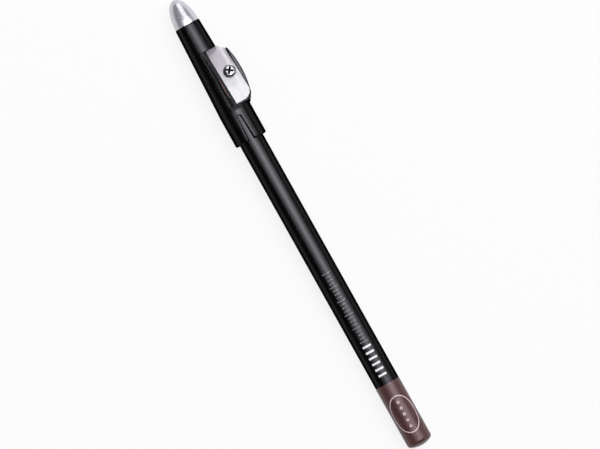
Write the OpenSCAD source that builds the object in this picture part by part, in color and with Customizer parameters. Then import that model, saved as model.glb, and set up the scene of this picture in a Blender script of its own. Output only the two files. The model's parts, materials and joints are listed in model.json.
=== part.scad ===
// Wood-cased eyeliner pencil in its cap. The cap has a sharpener moulded into its side.
// The pencil lies on its side, with its domed butt towards +X and the blade facing up.
// It rests on the collar's rim, the nose of the sharpener housing and the dipped end.

/* [Pencil] */
// Diameter of the lacquered barrel
barrel_d = 7.5; // [6.9:0.1:8]
// Length of the sharpened pencil from its point to its butt
pencil_len = 125.5; // [100:0.5:175]
// Half angle of the sharpened cone in degrees
cone_angle = 15.8; // [14.5:0.1:17.5]
// Radius that blunts the point
point_r = 0.2; // [0.1:0.05:0.4]
// Diameter of the cosmetic lead
lead_d = 3.8; // [3:0.1:4.6]
// Thickness of the lacquer over the wood
lacquer_t = 0.15; // [0.1:0.01:0.25]
// Film of glue or primer left between bonded faces
bond_t = 0.02; // [0.01:0.005:0.04]

/* [Dipped end] */
// Length of the coloured end, measured from the butt
dip_len = 20.3; // [10:0.1:40]
// Height of the coloured end above the lacquer
dip_step = 0.05; // [0.02:0.01:0.1]
// Length over which the front edge of the coloured end thins out
dip_feather = 0.6; // [0.55:0.05:1.5]
// Radius of the domed butt
dome_r = 7; // [5:0.1:9]
// Radius of the edge around the dome
dome_edge_r = 1.2; // [0.3:0.05:1.5]

/* [Cap tube] */
// Length of the moulded cap without its tip plug
tube_len = 37.7; // [34:0.1:46]
// Outer diameter at the tip plug
tube_front_d = 7.66; // [7.4:0.02:8.4]
// Outer diameter of the collar
collar_d = 9.8; // [9.4:0.1:11]
// Length of the straight collar
collar_len = 9.4; // [9:0.1:14]
// Edge radius at the front of the tube
front_edge_r = 0.3; // [0.1:0.05:0.5]
// Edge radius around the mouth of the collar
mouth_edge_r = 0.5; // [0.2:0.05:0.7]
// Distance from the front wall of the blade pocket to the pencil's point
point_gap = 2.8; // [2.4:0.1:3.3]
// Running clearance around the barrel
barrel_gap = 0.08; // [0.05:0.01:0.1]
// Clearance between the sharpened cone and its seat
cone_gap = 0.16; // [0.14:0.01:0.22]
// Diameter of the relief hole in front of the point
relief_d = 1.8; // [1.4:0.1:2.4]
// Length of the relief hole in front of the point
relief_len = 3.4; // [3.1:0.1:4]

/* [Collar slits] */
// Number of slits that let the collar spring open
slit_count = 1; // [1:1:4]
// Distance from the housing's heel to the closed end of a slit
slit_stop = 1.35; // [0.6:0.05:3]
// Width of a slit at its closed end
slit_end_w = 1.3; // [0.8:0.1:1.6]
// Width of a slit at the rim
slit_mouth_w = 2.3; // [1.2:0.1:2.8]
// Angle by which the slit is turned away from the housing
slit_turn = 4.2; // [0:0.2:10]

/* [Blade] */
// Length of the blade
blade_len = 18; // [17:0.1:19]
// Width of the blade
blade_w = 6.15; // [5.8:0.05:6.8]
// Thickness of the blade
blade_t = 0.6; // [0.4:0.05:0.8]
// Width of the ground bevel
bevel_w = 0.75; // [0.6:0.05:1.3]
// How far the cutting edge stays on the housing's side of the axis
edge_p = 0.1; // [0:0.02:0.2]
// Clearance between the sharpened cone and the blade
blade_gap = 0.1; // [0.08:0.01:0.12]
// Size of the cut corner at the front of the blade
blade_corner_cut = 1.8; // [1:0.1:2.4]
// Radius of the round corner at the rear of the blade
blade_corner_r = 2.8; // [1.5:0.1:3.2]
// Clearance in front of the blade
blade_end_gap = 0.05; // [0.03:0.01:0.1]

/* [Blade pocket] */
// Distance from the front of the tube to the pocket
pocket_start = 9.2; // [8.7:0.1:9.6]
// Free space behind the blade
pocket_rear = 1.2; // [0.9:0.1:1.5]
// Distance from the axis to the pocket's side wall
pocket_wall = 1.1; // [0.9:0.05:1.3]
// Width of the throat between the lip and the cutting edge
throat_w = 0.14; // [0.12:0.02:0.3]
// Height of the lip's upright edge above the blade seat
lip_h = 0.3; // [0.2:0.02:0.4]
// Angle at which the pocket's floor falls away from the lip
floor_fall = 8; // [0:1:12]
// Depth of the groove behind the blade, below the blade seat
groove_depth = 0.3; // [0.1:0.05:0.35]
// How far the groove behind the blade reaches past the axis
groove_reach = 2; // [1.2:0.1:2.4]

/* [Housing] */
// Radius of the bulging outer wall
housing_r = 27; // [24:0.5:32]
// How far the bulge reaches past the blade's back edge
housing_margin = 1.2; // [0.9:0.05:1.6]
// Height of the bulge's level rim above the axis
rim_height = 2.6; // [2:0.1:3.2]
// Radius of the rim's outer edge
rim_edge_r = 0.4; // [0.2:0.05:0.8]
// Play between the back edge of the blade and the wall behind it
blade_back_gap = 0.1; // [0.05:0.05:0.2]
// Radius of the rounding along the underside of the bulge
nose_r = 3.4; // [2.8:0.1:3.8]
// How far the flat underside lies inside the tube's lowest line
belly_sink = 0.1; // [0.08:0.02:0.2]
// Angle by which the walls of the heel lean outwards
heel_lean = 20; // [12:1:28]
// Angle by which the wall behind the blade's back edge leans outwards
back_lean = 5; // [2:1:8]
// Ledge between the blade and the heel
heel_ledge = 0.4; // [0.3:0.05:0.6]
// Angle of the heel's slanting side, seen from above
heel_slant = 30; // [24:1:40]
// How far the foot of the heel lies inside the collar's side
heel_inset = 0.3; // [0.2:0.05:0.6]

/* [Screw] */
// Diameter of the screw's head
screw_head_d = 3.7; // [3:0.1:4]
// Height of the screw's head
screw_head_h = 1.3; // [0.8:0.1:1.6]
// Diameter of the screw's shank
shank_d = 2.2; // [1.8:0.1:2.4]
// Length of the shank below the blade
shank_len = 3.8; // [3:0.1:4.2]
// Clearance around the shank in the blade's hole
hole_gap = 0.1; // [0.05:0.01:0.2]
// Distance from the cutting edge to the screw
screw_across = 3.75; // [3.6:0.05:4.3]
// Distance from the front end of the blade to the screw
screw_along = 8.65; // [8:0.05:9.5]
// Length of the cross recess
cross_len = 2.5; // [1.6:0.1:2.6]
// Width of one slot of the cross recess at the top of the head
cross_w = 0.65; // [0.4:0.05:0.7]
// Depth of the cross recess, where its leaning walls meet
cross_depth = 0.8; // [0.5:0.05:0.9]
// Angle at which the screw came to rest when it was tightened
cross_turn = 52; // [0:1:90]

/* [Tip plug] */
// Length of the visible tip plug
tip_len = 8; // [6:0.1:12]
// Diameter of the tip plug at the tube
tip_d = 7.42; // [7:0.02:7.6]
// Diameter of the spigot that holds the plug in the tube
spigot_d = 5.6; // [4.6:0.1:5.8]
// Length of the spigot
spigot_len = 5.6; // [4:0.1:5.8]
// Free depth behind the spigot
spigot_room = 0.4; // [0.2:0.1:0.6]

/* [Hidden] */
$fn = 96;

far = 40;
arc_steps = 10;

barrel_r = barrel_d / 2;
wood_r = barrel_r - lacquer_t - bond_t;
dip_r = barrel_r + dip_step;
lead_r = lead_d / 2;
collar_r = collar_d / 2;
tube_front_r = tube_front_d / 2;
tip_r = tip_d / 2;

// The sharpened cone would end in a sharp apex just in front of the blunt point
point_s = pocket_start + point_gap;
apex_s = point_s - (point_r / sin(cone_angle) - point_r);
dip_start = pencil_len - dip_len;
butt_s = point_s + pencil_len;

// The tube's taper runs from its front edge to the collar
taper_len = tube_len - collar_len;
draft = atan((collar_r - tube_front_r) / taper_len);
bore_r = barrel_r + barrel_gap;

// Blade, measured along the blade seat from the apex of the cone
blade_x = (pocket_start + blade_end_gap - apex_s + (blade_gap + blade_t) * sin(cone_angle)) / cos(cone_angle);
blade_front_s = apex_s + blade_x * cos(cone_angle);
blade_rear_s = blade_front_s + blade_len * cos(cone_angle);
blade_back = edge_p + blade_w;
screw_x = blade_x + screw_along;
screw_s = apex_s + screw_x * cos(cone_angle);
screw_p = edge_p + screw_across;
pocket_end = blade_rear_s + pocket_rear;

// Housing
housing_reach = blade_back + housing_margin;
housing_c = housing_reach - housing_r;
bulge_s = (blade_front_s + blade_rear_s) / 2;
heel_s = pocket_end + heel_ledge;
heel_p = collar_r - heel_inset;

// Resting pose: the butt sinks by the pitch and the housing's nose by the roll
rim_s = tube_len - mouth_edge_r;
dome_s = butt_s - dome_r + sqrt(pow(dome_r - dome_edge_r, 2) - pow(dip_r - dome_edge_r, 2));
pitch = atan((collar_r - dip_r) / (dome_s - rim_s));
roll = min([for (s = [bulge_s : 0.25 : heel_s]) roll_at(s)]);
lift = rim_s * sin(pitch) + collar_r * cos(pitch);
middle_s = (butt_s - tip_len) / 2;
middle_p = ((housing_reach - rim_edge_r) * cos(roll) + (rim_height - rim_edge_r) * sin(roll)
    + rim_edge_r - collar_r) / 2;

function tube_r(s) = min(collar_r, tube_front_r + s * tan(draft));
function seat_height(s) = (s - apex_s) * tan(cone_angle) + blade_gap / cos(cone_angle);
// Distance of the nose's centre line from the axis, sideways and downwards
function nose_p(s) = housing_c + sqrt(pow(housing_r - nose_r, 2) - pow(s - bulge_s, 2));
function nose_q(s) = tube_front_r + s * tan(draft) - belly_sink - nose_r;
// Height of the axis over the floor once the butt has sunk
function axis_height(s) = collar_r + (rim_s - s) * tan(pitch);
// Roll at which the nose touches the floor at this distance along the tube
function roll_at(s) =
    asin((axis_height(s) - nose_r) / norm([nose_p(s), nose_q(s)])) - atan2(nose_q(s), nose_p(s));
function arc(centre, r, from, to) = [
    for (i = [0 : arc_steps])
        let (a = from + (to - from) * i / arc_steps)
        centre + r * [cos(a), sin(a)]
];

// Puts a piece that is measured from the tube's front edge into its resting pose
module resting() {
    translate([-middle_s * cos(pitch), -middle_p, lift])
        rotate([0, pitch, 0])
            rotate([-roll, 0, 0])
                children();
}

// Turns a shape that was revolved about Z along the pencil's axis
module along_axis(start = 0) {
    translate([start, 0, 0])
        rotate([0, 90, 0])
            children();
}

// Frame of the blade seat: X runs up the cone, Y across the blade, Z out of the seat
module on_seat(height = 0) {
    translate([apex_s, 0, 0])
        rotate([0, -cone_angle, 0])
            translate([0, 0, height])
                children();
}

// Everything that the sharpener leaves, from the blunt point backwards
module sharpened() {
    wide = 2 * barrel_r;
    apex = point_s - apex_s;
    rotate_extrude()
        polygon(concat(
            [[0, 0]],
            [for (a = [10 : 10 : 80 - cone_angle]) point_r * [sin(a), 1 - cos(a)]],
            [
                point_r * [cos(cone_angle), 1 - sin(cone_angle)],
                [wide, wide / tan(cone_angle) - apex],
                [wide, pencil_len + 1],
                [0, pencil_len + 1]
            ]
        ));
}

// Round stock with a domed butt, of radius r and trimmed by inset all over
module stock(r, inset, from = -1) {
    dome = dome_r - inset;
    edge = dome_edge_r;
    edge_z = pencil_len - dome_r + sqrt(pow(dome - edge, 2) - pow(r - edge, 2));
    turn = acos((r - edge) / (dome - edge));
    rotate_extrude()
        polygon(concat(
            [[0, from], [r, from]],
            arc([r - edge, edge_z], edge, 0, turn),
            [for (i = [1 : arc_steps])
                let (a = turn + (90 - turn) * i / arc_steps)
                [dome * cos(a), pencil_len - dome_r + dome * sin(a)]]
        ));
}

// Wood of both slats, before it is split
module wood_blank() {
    difference() {
        intersection() {
            sharpened();
            stock(wood_r, dip_r - wood_r);
        }
        translate([0, 0, -1])
            cylinder(h = pencil_len + 2, r = lead_r + bond_t);
    }
}

module lead() {
    color([0.29, 0.21, 0.21])
        resting()
            along_axis(point_s)
                intersection() {
                    sharpened();
                    cylinder(h = pencil_len - dome_r + sqrt(pow(dome_r, 2) - pow(lead_r, 2))
                        - (dip_r - wood_r), r = lead_r);
                }
}

// One half of the split wood, glued along a flat face
module wood_slat(side) {
    color([0.86, 0.62, 0.53])
        resting()
            intersection() {
                along_axis(point_s)
                    wood_blank();
                translate([0, -far, side > 0 ? bond_t / 2 : -far - bond_t / 2])
                    cube([butt_s + far, 2 * far, far]);
            }
}

module wood_slat_upper() {
    wood_slat(1);
}

module wood_slat_lower() {
    wood_slat(-1);
}

module lacquer_coat() {
    color([0.03, 0.03, 0.035])
        resting()
            along_axis(point_s)
                intersection() {
                    sharpened();
                    difference() {
                        cylinder(h = dip_start, r = barrel_r);
                        translate([0, 0, -1])
                            cylinder(h = pencil_len, r = barrel_r - lacquer_t);
                    }
                }
}

// The coloured coat closes the butt and thins out towards the lacquer
module end_dip() {
    color([0.33, 0.22, 0.22])
        resting()
            along_axis(point_s)
                difference() {
                    intersection() {
                        stock(dip_r, 0, dip_start);
                        rotate_extrude()
                            polygon([
                                [0, dip_start],
                                [barrel_r, dip_start],
                                [dip_r, dip_start + dip_feather],
                                [2 * dip_r, dip_start + dip_feather],
                                [2 * dip_r, pencil_len + 1],
                                [0, pencil_len + 1]
                            ]);
                    }
                    stock(barrel_r - lacquer_t, dip_r - wood_r - bond_t);
                }
}

// Outside of the cap's tube, with both ends rounded
module tube_outside() {
    along_axis()
        rotate_extrude()
            polygon(concat(
                [[0, 0]],
                arc([tube_front_r - front_edge_r, front_edge_r], front_edge_r, -90, 0),
                [[collar_r, taper_len]],
                arc([collar_r - mouth_edge_r, tube_len - mouth_edge_r], mouth_edge_r, 0, 90),
                [[0, tube_len]]
            ));
}

// The bulge beside the tube: a drafted disc segment with a rounded underside, up to this height
module housing_bulge(top) {
    belly = tube_r(bulge_s) - belly_sink;
    translate([bulge_s, housing_c, 0])
        rotate([0, draft, 0])
            rotate_extrude()
                polygon(concat(
                    [[0, -belly], [housing_r - nose_r, -belly]],
                    arc([housing_r - nose_r, nose_r - belly], nose_r, -80, 0),
                    arc([housing_r - rim_edge_r, top - rim_edge_r], rim_edge_r, 0, 90),
                    [[0, top]]
                ));
}

// Outline of the housing seen from above, with a cut front corner and a slanting heel
module housing_plan() {
    front_cut = (housing_margin + blade_corner_cut) / blade_corner_cut + 1;
    front_p = blade_back - blade_corner_cut;
    slant_run = (housing_reach + 1 - heel_p) / tan(heel_slant);
    polygon([
        [pocket_start, 0],
        [pocket_start, front_p],
        [
            pocket_start + front_cut * blade_corner_cut * cos(cone_angle),
            front_p + front_cut * blade_corner_cut
        ],
        [heel_s - slant_run, housing_reach + 1],
        [heel_s, heel_p],
        [heel_s, 0]
    ]);
}

// Removes what lies beyond a wall that leans outwards, at plan angle turn
module wall_cut(s, p, turn, lean) {
    translate([s, p, seat_height(s)])
        rotate([0, 0, turn])
            rotate([0, -lean, 0])
                translate([0, -far, -far])
                    cube([far, 2 * far, 2 * far]);
}

// The wedge that carries the blade stands on the level bulge
module housing() {
    corner_s = blade_rear_s - blade_corner_r * cos(cone_angle);
    corner_p = blade_back - blade_corner_r;
    corner_run = (blade_corner_r + heel_ledge) * cos(45);
    difference() {
        intersection() {
            union() {
                housing_bulge(rim_height);
                difference() {
                    housing_bulge(far);
                    wall_cut(blade_rear_s, blade_back + blade_back_gap, 90, back_lean);
                    on_seat(blade_gap)
                        translate([-far, -far, 0])
                            cube([2 * far, 2 * far, 2 * far]);
                }
            }
            translate([0, 0, -far])
                linear_extrude(2 * far)
                    housing_plan();
        }
        wall_cut(blade_rear_s + heel_ledge, 0, 0, heel_lean);
        wall_cut(corner_s + corner_run, corner_p + corner_run, 45, heel_lean);
    }
}

// Pocket over the blade seat, whose floor ends in a lip on the far side of the throat
module blade_pocket() {
    lip_p = edge_p - throat_w;
    back_p = blade_back + blade_back_gap;
    intersection() {
        on_seat(blade_gap)
            rotate([90, 0, 90])
                translate([0, 0, -far])
                    linear_extrude(2 * far)
                        polygon([
                            [lip_p, 0],
                            [lip_p, lip_h],
                            [-pocket_wall, lip_h - (pocket_wall + lip_p) * tan(floor_fall)],
                            [-pocket_wall, far],
                            [back_p, far],
                            [back_p, 0]
                        ]);
        translate([pocket_start, -far, -far])
            cube([pocket_end - pocket_start, 2 * far, 2 * far]);
    }
}

// Groove behind the blade, parallel to the blade seat
module rear_groove() {
    intersection() {
        on_seat(blade_gap - groove_depth)
            translate([0, -pocket_wall, 0])
                cube([far, pocket_wall + groove_reach, far]);
        translate([blade_rear_s, -far, -far])
            cube([pocket_rear, 2 * far, 2 * far]);
    }
}

// Bore for the barrel, seat for the sharpened cone and relief in front of the point
module pencil_bore() {
    seat_front = apex_s - cone_gap / sin(cone_angle);
    along_axis(seat_front)
        rotate_extrude()
            polygon([
                [0, 0],
                [bore_r, bore_r / tan(cone_angle)],
                [bore_r, tube_len - seat_front + 1],
                [0, tube_len - seat_front + 1]
            ]);
    along_axis(point_s - relief_len)
        cylinder(h = relief_len + relief_d / tan(cone_angle), r = relief_d / 2);
}

// Slit with a round closed end that widens towards the rim
module collar_slit() {
    end_s = heel_s + slit_stop + slit_end_w / 2;
    linear_extrude(far)
        polygon(concat(
            arc([end_s, 0], slit_end_w / 2, 90, 270),
            [
                [tube_len + 1, -slit_mouth_w / 2],
                [tube_len + 1, slit_mouth_w / 2]
            ]
        ));
}

module cap_shell() {
    color([0.03, 0.03, 0.035])
        resting()
            difference() {
                union() {
                    tube_outside();
                    housing();
                }
                blade_pocket();
                rear_groove();
                pencil_bore();
                along_axis(-1)
                    cylinder(h = spigot_len + spigot_room + 1, r = spigot_d / 2 + bond_t);
                on_seat(blade_gap)
                    translate([screw_x, screw_p, -shank_len - hole_gap])
                        cylinder(h = shank_len + 1, r = shank_d / 2 + bond_t);
                for (i = [0 : slit_count - 1])
                    rotate([slit_turn + i * 360 / slit_count, 0, 0])
                        collar_slit();
            }
}

// Bullet-shaped plug with a spigot that presses into the tube
module tip_plug() {
    lead_in = 0.4;
    spigot_r = spigot_d / 2;
    color([0.76, 0.75, 0.79])
        resting()
            along_axis()
                rotate_extrude()
                    polygon(concat(
                        [for (a = [0 : 6 : 90]) [tip_r * sin(a), -tip_len * cos(a)]],
                        [
                            [spigot_r, 0],
                            [spigot_r, spigot_len - lead_in],
                            [spigot_r - lead_in, spigot_len],
                            [0, spigot_len]
                        ]
                    ));
}

// Flat blade, ground to an edge on the side that faces away from the cone
module blade() {
    color([0.82, 0.81, 0.84])
        resting()
            on_seat(blade_gap)
                translate([blade_x, edge_p, 0])
                    difference() {
                        intersection() {
                            rotate([90, 0, 90])
                                translate([0, 0, -1])
                                    linear_extrude(blade_len + 2)
                                        polygon([
                                            [0, 0],
                                            [blade_w + 1, 0],
                                            [blade_w + 1, blade_t],
                                            [bevel_w, blade_t]
                                        ]);
                            translate([0, 0, -1])
                                linear_extrude(blade_t + 2)
                                    polygon(concat(
                                        [[0, -1], [blade_len, -1]],
                                        arc([blade_len - blade_corner_r, blade_w - blade_corner_r],
                                            blade_corner_r, 0, 90),
                                        [[blade_corner_cut, blade_w], [0, blade_w - blade_corner_cut]]
                                    ));
                        }
                        translate([screw_along, screw_across, -1])
                            cylinder(h = blade_t + 2, r = shank_d / 2 + hole_gap);
                    }
}

// Pan-head screw with a cross recess
module screw() {
    head_r = screw_head_d / 2;
    side_h = screw_head_h / 3;
    crown_h = screw_head_h - side_h;
    color([0.62, 0.62, 0.64])
        resting()
            on_seat(blade_gap + blade_t)
                translate([screw_x, screw_p, 0])
                    difference() {
                        rotate_extrude()
                            polygon(concat(
                                [
                                    [0, -blade_t - shank_len],
                                    [shank_d / 2, -blade_t - shank_len],
                                    [shank_d / 2, 0],
                                    [head_r, 0]
                                ],
                                [for (a = [0 : 10 : 90])
                                    [head_r * (0.45 + 0.55 * cos(a)), side_h + crown_h * sin(a)]],
                                [[0, screw_head_h]]
                            ));
                        for (a = [0, 90])
                            rotate([0, 0, cross_turn + a])
                                translate([-cross_len / 2, 0, screw_head_h])
                                    rotate([90, 0, 90])
                                        linear_extrude(cross_len)
                                            polygon([
                                                [0, -cross_depth],
                                                [cross_w / 2, 0],
                                                [cross_w / 2, 1],
                                                [-cross_w / 2, 1],
                                                [-cross_w / 2, 0]
                                            ]);
                    }
}

lead();
wood_slat_upper();
wood_slat_lower();
lacquer_coat();
end_dip();
cap_shell();
tip_plug();
blade();
screw();
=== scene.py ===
"""Dresses an eyeliner pencil and its sharpener cap: finishes, printed marks, floor, light and camera."""

import json
import math

import bmesh
import bpy
from mathutils import Matrix, Vector


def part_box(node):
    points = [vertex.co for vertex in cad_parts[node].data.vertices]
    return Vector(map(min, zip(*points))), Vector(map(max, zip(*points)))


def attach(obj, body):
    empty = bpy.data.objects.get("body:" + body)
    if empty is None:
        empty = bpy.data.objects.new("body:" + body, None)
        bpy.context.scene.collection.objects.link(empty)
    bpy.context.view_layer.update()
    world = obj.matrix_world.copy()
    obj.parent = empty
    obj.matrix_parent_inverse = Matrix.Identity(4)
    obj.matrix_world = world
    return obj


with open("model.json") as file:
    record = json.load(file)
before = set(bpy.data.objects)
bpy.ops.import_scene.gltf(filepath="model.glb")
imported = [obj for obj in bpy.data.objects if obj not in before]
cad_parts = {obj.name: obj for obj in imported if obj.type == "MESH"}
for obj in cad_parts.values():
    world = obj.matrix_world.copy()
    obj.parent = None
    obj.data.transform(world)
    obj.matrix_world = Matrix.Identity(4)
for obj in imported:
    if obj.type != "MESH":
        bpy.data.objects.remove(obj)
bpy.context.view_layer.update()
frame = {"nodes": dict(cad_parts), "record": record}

MM = 0.001

# The pencil's axis, from the mount on its dipped end
MOUNT = frame["record"]["mounts"][0]
DIP_R = MOUNT["dims"]["r_mm"] * MM
ALONG = Vector(MOUNT["axis"]).normalized()
SIDE = Vector((0, 0, 1)).cross(ALONG).normalized()
UP = ALONG.cross(SIDE)
BUTT_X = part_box("end_dip")[1].x
BUTT = Vector(MOUNT["pos_m"]) + ALONG * (BUTT_X - MOUNT["pos_m"][0]) / ALONG.x
BARREL_R = (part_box("lacquer_coat")[1].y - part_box("lacquer_coat")[0].y) / 2

# Edges that bend more than this stay sharp
SHARP_ANGLE = math.radians(30)

# The blade's colour is darkened by painted shade up to the first of these places, and is lighter from
# the second
BLADE_FRONT_X, BLADE_REAR_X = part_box("blade")[0].x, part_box("blade")[1].x
BLADE_PAINTED_SHADE_X = BLADE_FRONT_X + 0.3 * (BLADE_REAR_X - BLADE_FRONT_X)
BLADE_PAINTED_LIGHT_X = BLADE_FRONT_X + 0.85 * (BLADE_REAR_X - BLADE_FRONT_X)

# A painted highlight streak runs along the blade's shaded front part, inside its outer edge
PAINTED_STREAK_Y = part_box("blade")[1].y - 1.55 * MM
PAINTED_STREAK_HALF = 0.85 * MM

# Rounding of the moulded edges, in front of the collar's slit and along it
SLIT_LEN = 8.4 * MM
SLIT_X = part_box("cap_shell")[1].x - SLIT_LEN
EDGE_R = 0.2 * MM
SLIT_EDGE_R = 0.5 * MM

# Mottle and waves of a coat, along the pencil and across it, and its grain
MOTTLE = (2.5 * MM, 1.2 * MM, 1.2 * MM)
ROUGHNESS_SPREAD = 0.03
WAVES = (6 * MM, 2 * MM, 2 * MM)
GRAIN = 0.12 * MM
GRAIN_DEPTH = 0.0007 * MM

# A noise's values lie mostly between these
NOISE_LOW, NOISE_HIGH = 0.3, 0.7

# Printed marks: places are distances from the butt, and a half is a mark's reach to one side
INK_PROUD = 0.015 * MM
INK_SUNK = 0.05 * MM
FINE_START, FINE_END = 56.2 * MM, 34.0 * MM
FINE_COUNT = 21
FINE_W = 0.17 * MM
FINE_LONG_EVERY = 4
FINE_HALF = 1.35 * MM
FINE_SHORT_HALF = 0.8 * MM
BOLD_START, BOLD_END = 32.4 * MM, 23.2 * MM
BOLD_COUNT = 6
BOLD_W = 0.62 * MM
BOLD_HALF = 1.3 * MM
OVAL_START, OVAL_END = 16.2 * MM, 4.5 * MM
OVAL_HALF = 4.0 * MM
OVAL_W = 0.3 * MM
DOT_COUNT = 5
DOT_R = 0.42 * MM

# The row of dots is this share of the oval's length
DOT_ROW_SHARE = 0.65

# The photograph's frame: its width in pixels, its scale and turn, and the place in its middle
PHOTO_W = 600
PIXELS_PER_MM = 3.5
PHOTO_TURN = math.radians(60.8)
PHOTO_CENTRE = Vector((0.74 * MM, -1.04 * MM, 4.6 * MM))
CAMERA_HEIGHT = 1.6
SENSOR = 36

FLOOR_R = 3.0
FLOOR_PAINT = 0.82
FLOOR_GLOW = 0.84

# The world's colours from the horizon to overhead, each with the height at which it is reached
HORIZON = (0.04, (0.9, 0.9, 0.9))
OVERHEAD = (0.3, (0.06, 0.061, 0.066))

# The key light is three lamps, each behind the last and longer, so that it fades to its ends
KEY_DIRECTION = (-0.04, 0.29, 1.0)
KEY_W = 0.4
KEY_TINT = (0.965, 0.96, 1.0)
KEY_LAMPS = [
    {"name": "key_core", "distance": 1.5, "length": 0.58, "power": 3.7},
    {"name": "key_middle", "distance": 1.52, "length": 1.4, "power": 7.8},
    {"name": "key_rim", "distance": 1.54, "length": 2.9, "power": 12.6},
]


# Nodes of a material


def new_material(name, **values):
    """A material with one Principled shader, whose sockets take the given values."""
    material = bpy.data.materials.new(name)
    material.use_nodes = True
    shader = material.node_tree.nodes["Principled BSDF"]
    for socket, value in values.items():
        shader.inputs[socket.replace("_", " ")].default_value = value
    return material, material.node_tree, shader


def add(tree, kind, **values):
    """A node of this kind. Names in capitals set its properties, and the others its sockets."""
    node = tree.nodes.new("ShaderNode" + kind)
    for key, value in values.items():
        if key.isupper():
            setattr(node, key.lower(), value)
        else:
            node.inputs[key.replace("_", " ")].default_value = value
    return node


def maths(tree, operation, first, second):
    """The result of a Math node on an output and on another output or a number."""
    node = add(tree, "Math", OPERATION=operation)
    tree.links.new(first, node.inputs[0])
    if isinstance(second, float):
        node.inputs[1].default_value = second
    else:
        tree.links.new(second, node.inputs[1])
    return node.outputs["Value"]


def map_range(tree, value, low, high, to_low=0.0, to_high=1.0):
    """Maps a value between low and high to another range, and holds it there beyond them."""
    node = add(tree, "MapRange", From_Min=low, From_Max=high, To_Min=to_low, To_Max=to_high)
    tree.links.new(value, node.inputs["Value"])
    return node.outputs["Result"]


def coordinate(tree, axis, kind="Object"):
    """One axis of the piece's own coordinates at rest, or of its normal."""
    where = add(tree, "TexCoord")
    split = add(tree, "SeparateXYZ")
    tree.links.new(where.outputs[kind], split.inputs["Vector"])
    return split.outputs[axis]


def facing(tree, axis, low, high):
    """0 to 1 as the surface's own normal turns along an axis of the piece, from low to high."""
    return map_range(tree, coordinate(tree, axis, "Normal"), low, high)


def noise(tree, stretch, detail=3.0):
    """Noise whose features are about stretch metres along each axis of the piece."""
    where = add(tree, "TexCoord")
    mapping = add(tree, "Mapping", Scale=[1 / s for s in stretch])
    node = add(tree, "TexNoise", Scale=1.0, Detail=detail, Roughness=0.55)
    tree.links.new(where.outputs["Object"], mapping.inputs["Vector"])
    tree.links.new(mapping.outputs["Vector"], node.inputs["Vector"])
    return node.outputs["Fac"]


def spread(tree, value, low, high):
    """Maps a noise to a range."""
    return map_range(tree, value, NOISE_LOW, NOISE_HIGH, low, high)


def colour_ramp(tree, value, first, second):
    """Colours from a first stop to a second. A stop is a value and the colour that it has."""
    node = add(tree, "ValToRGB")
    for element, (position, colour) in zip(node.color_ramp.elements, (first, second)):
        element.position = position
        element.color = (*colour, 1)
    tree.links.new(value, node.inputs["Fac"])
    return node.outputs["Color"]


def blend_colours(tree, value, dark, light):
    """A colour between dark and light, by a noise."""
    return colour_ramp(tree, value, (NOISE_LOW, dark), (NOISE_HIGH, light))


def mix_colours(tree, share, first, second):
    """The first colour where share is 0, and the second where it is 1. Each is a value or an output."""
    mix = add(tree, "Mix", DATA_TYPE="RGBA")
    tree.links.new(share, mix.inputs["Factor"])
    for socket, colour in zip([s for s in mix.inputs if s.type == "RGBA"], (first, second)):
        if isinstance(colour, tuple):
            socket.default_value = (*colour, 1)
        else:
            tree.links.new(colour, socket)
    return [s for s in mix.outputs if s.type == "RGBA"][0]


def bump(tree, shader, value, depth):
    """Raises the surface by value times depth metres, on top of a bump that is there already."""
    node = add(tree, "Bump", Strength=1.0, Distance=depth)
    tree.links.new(value, node.inputs["Height"])
    if shader.inputs["Normal"].is_linked:
        tree.links.new(shader.inputs["Normal"].links[0].from_socket, node.inputs["Normal"])
    tree.links.new(node.outputs["Normal"], shader.inputs["Normal"])


def soften_edges(tree, shader):
    """Rounds the shading of the mould's edges, and more so along the collar's slit."""
    radius = map_range(tree, coordinate(tree, "X"), SLIT_X - MM, SLIT_X, EDGE_R, SLIT_EDGE_R)
    soft = add(tree, "Bevel", SAMPLES=8)
    tree.links.new(radius, soft.inputs["Radius"])
    tree.links.new(soft.outputs["Normal"], shader.inputs["Normal"])


# Finishes


def glossy_coat(name, dark, light, roughness, waviness, rounded=False, **values):
    """A coat or moulding with a faint mottle in its colour and gloss, slow waves and a fine grain."""
    material, tree, shader = new_material(name, **values)
    if rounded:
        soften_edges(tree, shader)
    mottle = noise(tree, MOTTLE)
    matt = spread(tree, mottle, roughness - ROUGHNESS_SPREAD, roughness + ROUGHNESS_SPREAD)
    tree.links.new(blend_colours(tree, mottle, dark, light), shader.inputs["Base Color"])
    tree.links.new(matt, shader.inputs["Roughness"])
    bump(tree, shader, noise(tree, WAVES, detail=1.0), waviness)
    bump(tree, shader, noise(tree, (GRAIN, GRAIN, GRAIN), detail=2.0), GRAIN_DEPTH)
    return material


def black_gloss(name, waviness, rounded=False):
    """A black that only mirrors. Its colour is its reflectance, and the tint keeps its sides dark."""
    dark, light = (0.0205, 0.0205, 0.0215), (0.024, 0.024, 0.025)
    return glossy_coat(
        name, dark, light, 0.26, waviness, rounded, Metallic=1.0, Specular_Tint=(0.1, 0.1, 0.1, 1)
    )


def cap_plastic():
    return black_gloss("cap_plastic", 0.012 * MM, rounded=True)


def lacquer():
    return black_gloss("lacquer", 0.008 * MM)


def dip():
    """Brown lacquer with a little pearl in it."""
    dark, light = (0.063, 0.022, 0.021), (0.09, 0.033, 0.032)
    return glossy_coat("dip", dark, light, 0.38, 0.01 * MM, Metallic=0.12, IOR=1.55)


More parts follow.
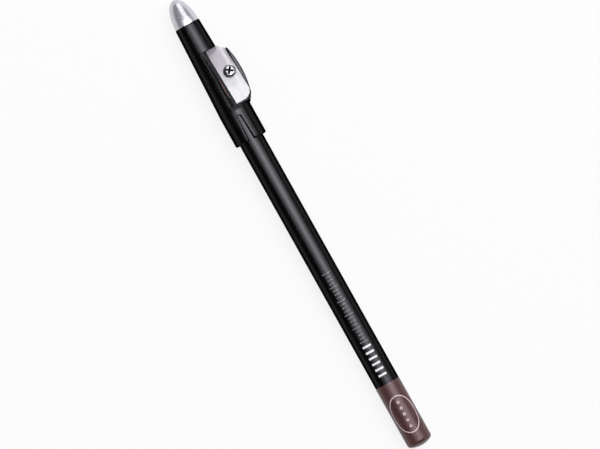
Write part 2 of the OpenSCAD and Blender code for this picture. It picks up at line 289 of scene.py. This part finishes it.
def tip_metal():
    """Plastic with a silver coat, which is part mirror and part paint."""
    material, tree, shader = new_material("tip_metal", Metallic=0.68)
    cloud = noise(tree, (3 * MM, 2 * MM, 2 * MM))
    silver = blend_colours(tree, cloud, (0.55, 0.545, 0.595), (0.63, 0.625, 0.675))
    tree.links.new(silver, shader.inputs["Base Color"])
    tree.links.new(spread(tree, cloud, 0.22, 0.28), shader.inputs["Roughness"])
    grain = noise(tree, (0.2 * MM, 0.2 * MM, 0.2 * MM), detail=2.0)
    bump(tree, shader, grain, 0.0006 * MM)
    return material


def blade_steel():
    """Matt steel with grinding lines, painted shade on its front half with a painted highlight streak,
    and painted shade on its bevel.
    """
    material, tree, shader = new_material("blade_steel", Metallic=0.25)
    lines = noise(tree, (9 * MM, 0.11 * MM, 0.5 * MM), detail=4.0)
    painted_dark_steel = blend_colours(tree, lines, (0.385, 0.37, 0.395), (0.43, 0.41, 0.44))
    painted_light_steel = blend_colours(tree, lines, (0.655, 0.65, 0.66), (0.72, 0.715, 0.725))
    # Painted highlight: a lighter streak of colour along the front part of the blade.
    painted_streak_low, painted_streak_high = PAINTED_STREAK_Y - PAINTED_STREAK_HALF, PAINTED_STREAK_Y + PAINTED_STREAK_HALF
    across = map_range(tree, coordinate(tree, "Y"), painted_streak_low, painted_streak_high, to_high=2.0)
    painted_streak = maths(tree, "PINGPONG", across, 1.0)
    front = mix_colours(tree, painted_streak, painted_dark_steel, (0.64, 0.625, 0.65))
    # Painted shade: the blade's front gets a darker steel colour, which lightens towards its rear.
    rearwards = map_range(tree, coordinate(tree, "X"), BLADE_PAINTED_SHADE_X, BLADE_PAINTED_LIGHT_X)
    flat = mix_colours(tree, rearwards, front, painted_light_steel)
    # Painted shade: faces turned towards -Y, the ground bevel, get a dark colour.
    colour = mix_colours(tree, facing(tree, "Y", -0.35, -0.15), (0.07, 0.068, 0.072), flat)
    tree.links.new(colour, shader.inputs["Base Color"])
    tree.links.new(spread(tree, lines, 0.26, 0.32), shader.inputs["Roughness"])
    bump(tree, shader, lines, 0.002 * MM)
    return material


def screw_steel():
    """Plated screw with a fine grain, and painted shade on its steep faces and in its recess."""
    material, tree, shader = new_material("screw_steel", Metallic=1.0)
    cloud = noise(tree, (0.5 * MM, 0.5 * MM, 0.5 * MM))
    crown = blend_colours(tree, cloud, (0.5, 0.5, 0.51), (0.68, 0.68, 0.69))
    # Painted shade: faces turned away from the top of the head, the recess walls and the head's sides,
    # get a dark colour.
    colour = mix_colours(tree, facing(tree, "Z", 0.5, 0.85), (0.12, 0.12, 0.125), crown)
    tree.links.new(colour, shader.inputs["Base Color"])
    tree.links.new(spread(tree, cloud, 0.2, 0.28), shader.inputs["Roughness"])
    bump(tree, shader, cloud, 0.004 * MM)
    return material


def wood():
    """Freshly cut pinkish wood, with its grain along the pencil."""
    material, tree, shader = new_material("wood", IOR=1.45)
    grain = noise(tree, (7 * MM, 0.22 * MM, 0.3 * MM), detail=5.0)
    colour = blend_colours(tree, grain, (0.55, 0.25, 0.17), (0.8, 0.45, 0.34))
    tree.links.new(colour, shader.inputs["Base Color"])
    tree.links.new(spread(tree, grain, 0.55, 0.75), shader.inputs["Roughness"])
    bump(tree, shader, grain, 0.02 * MM)
    return material


def lead():
    """Waxy dark brown lead, with faint marks left by the blade."""
    material, tree, shader = new_material("lead", IOR=1.4)
    marks = noise(tree, (0.16 * MM, 1.5 * MM, 1.5 * MM))
    colour = blend_colours(tree, marks, (0.055, 0.03, 0.031), (0.085, 0.048, 0.05))
    tree.links.new(colour, shader.inputs["Base Color"])
    tree.links.new(spread(tree, marks, 0.45, 0.6), shader.inputs["Roughness"])
    bump(tree, shader, marks, 0.012 * MM)
    return material


def ink(name, thin, full):
    """Printing ink, a little uneven in its cover."""
    material, tree, shader = new_material(name, IOR=1.4)
    cover = noise(tree, (0.3 * MM, 0.3 * MM, 0.3 * MM))
    tree.links.new(blend_colours(tree, cover, thin, full), shader.inputs["Base Color"])
    tree.links.new(spread(tree, cover, 0.4, 0.55), shader.inputs["Roughness"])
    return material


def dress_nodes():
    """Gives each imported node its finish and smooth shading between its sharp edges."""
    finishes = {
        "lead": lead(),
        "wood": wood(),
        "lacquer": lacquer(),
        "dip": dip(),
        "cap_plastic": cap_plastic(),
        "tip_metal": tip_metal(),
        "blade_steel": blade_steel(),
        "screw_steel": screw_steel(),
    }
    for part in frame["record"]["subparts"]:
        mesh = frame["nodes"][part["node"]].data
        mesh.materials.clear()
        mesh.materials.append(finishes[part["material_slot"]])
        mesh.shade_smooth()
        mesh.set_sharp_from_angle(angle=SHARP_ANGLE)


# Printed marks


def on_coat(radius, from_butt, round_way):
    """The point this far from the butt, and this far round a coat from its top to the housing."""
    angle = round_way / radius
    return BUTT - ALONG * from_butt + (UP * math.cos(angle) + SIDE * math.sin(angle)) * radius


def lay_plate(bm, coat_r, left, right, closed=False):
    """A thin plate of ink between two lines of places on a coat."""
    rows = []
    for places in zip(left, right):
        low = [bm.verts.new(on_coat(coat_r - INK_SUNK, *p)) for p in places]
        high = [bm.verts.new(on_coat(coat_r + INK_PROUD, *p)) for p in places]
        rows.append((low[0], high[0], high[1], low[1]))
    ends = zip(rows, rows[1:] + rows[:1]) if closed else zip(rows, rows[1:])
    for a, b in ends:
        for i in range(4):
            j = (i + 1) % 4
            bm.faces.new((a[i], a[j], b[j], b[i]))
    if not closed:
        bm.faces.new(rows[0])
        bm.faces.new(rows[-1])


def lay_stroke(bm, coat_r, from_butt, half, width):
    """A stroke of ink across the top of a coat."""
    steps = 10
    ways = [2 * half * i / steps - half for i in range(steps + 1)]
    left = [(from_butt - width / 2, w) for w in ways]
    right = [(from_butt + width / 2, w) for w in ways]
    lay_plate(bm, coat_r, left, right)


def lay_oval(bm, coat_r, from_butt, reach, half, width):
    """An oval line of ink, with its long axis along the pencil."""
    steps = 96
    turns = [2 * math.pi * i / steps for i in range(steps)]
    outer, inner = [
        [(from_butt + (reach - d) * math.cos(t), (half - d) * math.sin(t)) for t in turns]
        for d in (0, width)
    ]
    lay_plate(bm, coat_r, outer, inner, closed=True)


def lay_dot(bm, coat_r, from_butt, radius):
    """A filled dot of ink on the top line of a coat."""
    steps = 16
    across = [radius * math.cos(math.pi * (i + 0.5) / steps) for i in range(steps)]
    left = [(from_butt + c, -math.sqrt(radius**2 - c**2)) for c in across]
    right = [(from_butt + c, math.sqrt(radius**2 - c**2)) for c in across]
    lay_plate(bm, coat_r, left, right)


def finish_print(bm, name, material):
    """Turns the laid ink into a piece that rides on the pencil."""
    bmesh.ops.recalc_face_normals(bm, faces=bm.faces)
    mesh = bpy.data.meshes.new(name)
    bm.to_mesh(mesh)
    bm.free()
    mesh.materials.append(material)
    piece = bpy.data.objects.new(name, mesh)
    bpy.context.scene.collection.objects.link(piece)
    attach(piece, "pencil")


def print_fine_strokes():
    """A row of thin grey strokes, with every fourth one longer."""
    bm = bmesh.new()
    for i in range(FINE_COUNT):
        from_butt = FINE_START + (FINE_END - FINE_START) * i / (FINE_COUNT - 1)
        half = FINE_HALF if i % FINE_LONG_EVERY == 0 else FINE_SHORT_HALF
        lay_stroke(bm, BARREL_R, from_butt, half, FINE_W)
    grey = ink("fine_ink", (0.2, 0.2, 0.21), (0.32, 0.32, 0.34))
    finish_print(bm, "print_fine_strokes", grey)


def print_bold_strokes():
    """A row of thick white strokes."""
    bm = bmesh.new()
    for i in range(BOLD_COUNT):
        from_butt = BOLD_START + (BOLD_END - BOLD_START) * i / (BOLD_COUNT - 1)
        lay_stroke(bm, BARREL_R, from_butt, BOLD_HALF, BOLD_W)
    white = ink("bold_ink", (0.75, 0.75, 0.76), (0.88, 0.88, 0.88))
    finish_print(bm, "print_bold_strokes", white)


def print_oval():
    """An oval line on the dipped end, with a row of dots in it."""
    bm = bmesh.new()
    middle = (OVAL_START + OVAL_END) / 2
    length = OVAL_START - OVAL_END
    lay_oval(bm, DIP_R, middle, length / 2, OVAL_HALF, OVAL_W)
    for i in range(DOT_COUNT):
        lay_dot(bm, DIP_R, middle + length * DOT_ROW_SHARE * (i / (DOT_COUNT - 1) - 0.5), DOT_R)
    pink = ink("pale_pink_ink", (0.6, 0.45, 0.47), (0.76, 0.6, 0.62))
    finish_print(bm, "print_oval", pink)


# Floor, light and camera


def seen_directly(tree):
    """1 for what is seen, also in a mirror or through glass, and 0 for the light on the object."""
    path = add(tree, "LightPath")
    seen = maths(tree, "MAXIMUM", path.outputs["Is Camera Ray"], path.outputs["Is Glossy Ray"])
    return maths(tree, "MAXIMUM", seen, path.outputs["Is Transmission Ray"])


def floor_paint():
    """White paint that keeps a faint shadow, because part of what is seen of it glows."""
    material = bpy.data.materials.new("floor")
    material.use_nodes = True
    tree = material.node_tree
    tree.nodes.remove(tree.nodes["Principled BSDF"])
    paint = add(tree, "BsdfDiffuse", Color=(FLOOR_PAINT, FLOOR_PAINT, FLOOR_PAINT, 1))
    glow = add(tree, "Emission", Color=(1, 1, 1, 1), Strength=1.0)
    mix = add(tree, "MixShader")
    tree.links.new(maths(tree, "MULTIPLY", seen_directly(tree), FLOOR_GLOW), mix.inputs["Fac"])
    tree.links.new(paint.outputs["BSDF"], mix.inputs[1])
    tree.links.new(glow.outputs["Emission"], mix.inputs[2])
    tree.links.new(mix.outputs["Shader"], tree.nodes["Material Output"].inputs["Surface"])
    return material


def floor():
    """A round white floor."""
    bm = bmesh.new()
    bmesh.ops.create_circle(bm, cap_ends=True, segments=96, radius=FLOOR_R)
    mesh = bpy.data.meshes.new("floor")
    bm.to_mesh(mesh)
    bm.free()
    mesh.materials.append(floor_paint())
    piece = bpy.data.objects.new("floor", mesh)
    bpy.context.scene.collection.objects.link(piece)


def surroundings():
    """A room that is white at the horizon and dim overhead."""
    world = bpy.data.worlds.new("room")
    bpy.context.scene.world = world
    world.use_nodes = True
    tree = world.node_tree
    colour = colour_ramp(tree, coordinate(tree, "Z", "Generated"), HORIZON, OVERHEAD)
    tree.links.new(colour, tree.nodes["Background"].inputs["Color"])


def softbox(name, direction, distance, size, power, colour=(1, 1, 1)):
    """An oblong lamp that faces the frame's origin. Its size is along X, and then across that."""
    data = bpy.data.lights.new(name, "AREA")
    data.shape = "RECTANGLE"
    data.size, data.size_y = size
    data.energy = power
    data.color = colour
    lamp = bpy.data.objects.new(name, data)
    bpy.context.scene.collection.objects.link(lamp)
    back = Vector(direction).normalized()
    side = Vector((0, 1, 0)) - back * back.y
    side.normalize()
    turn = Matrix((side.cross(back), side, back)).transposed().to_4x4()
    lamp.matrix_world = Matrix.Translation(back * distance) @ turn


def lights():
    """A key light overhead, and a strip light from the front end that shines on the tip plug."""
    for lamp in KEY_LAMPS:
        size = (KEY_W, lamp["length"])
        softbox(lamp["name"], KEY_DIRECTION, lamp["distance"], size, lamp["power"], KEY_TINT)
    softbox("strip", (-0.7, 0.36, 0.62), 1.0, (1.0, 0.7), 3.9)


def camera():
    """Looks straight down, turned as the photograph is."""
    right = Vector((math.cos(PHOTO_TURN), math.sin(PHOTO_TURN), 0))
    up = Vector((-right.y, right.x, 0))
    data = bpy.data.cameras.new("camera")
    data.sensor_width = SENSOR
    data.lens = SENSOR * CAMERA_HEIGHT / (PHOTO_W / PIXELS_PER_MM * MM)
    data.clip_start = 0.01
    data.clip_end = 10
    view = bpy.data.objects.new("camera", data)
    bpy.context.scene.collection.objects.link(view)
    turn = Matrix((right, up, Vector((0, 0, 1)))).transposed().to_4x4()
    view.matrix_world = Matrix.Translation(PHOTO_CENTRE + Vector((0, 0, CAMERA_HEIGHT))) @ turn
    bpy.context.scene.camera = view


dress_nodes()
print_fine_strokes()
print_bold_strokes()
print_oval()
floor()
surroundings()
lights()
camera()
bpy.context.scene.view_settings.view_transform = "Standard"
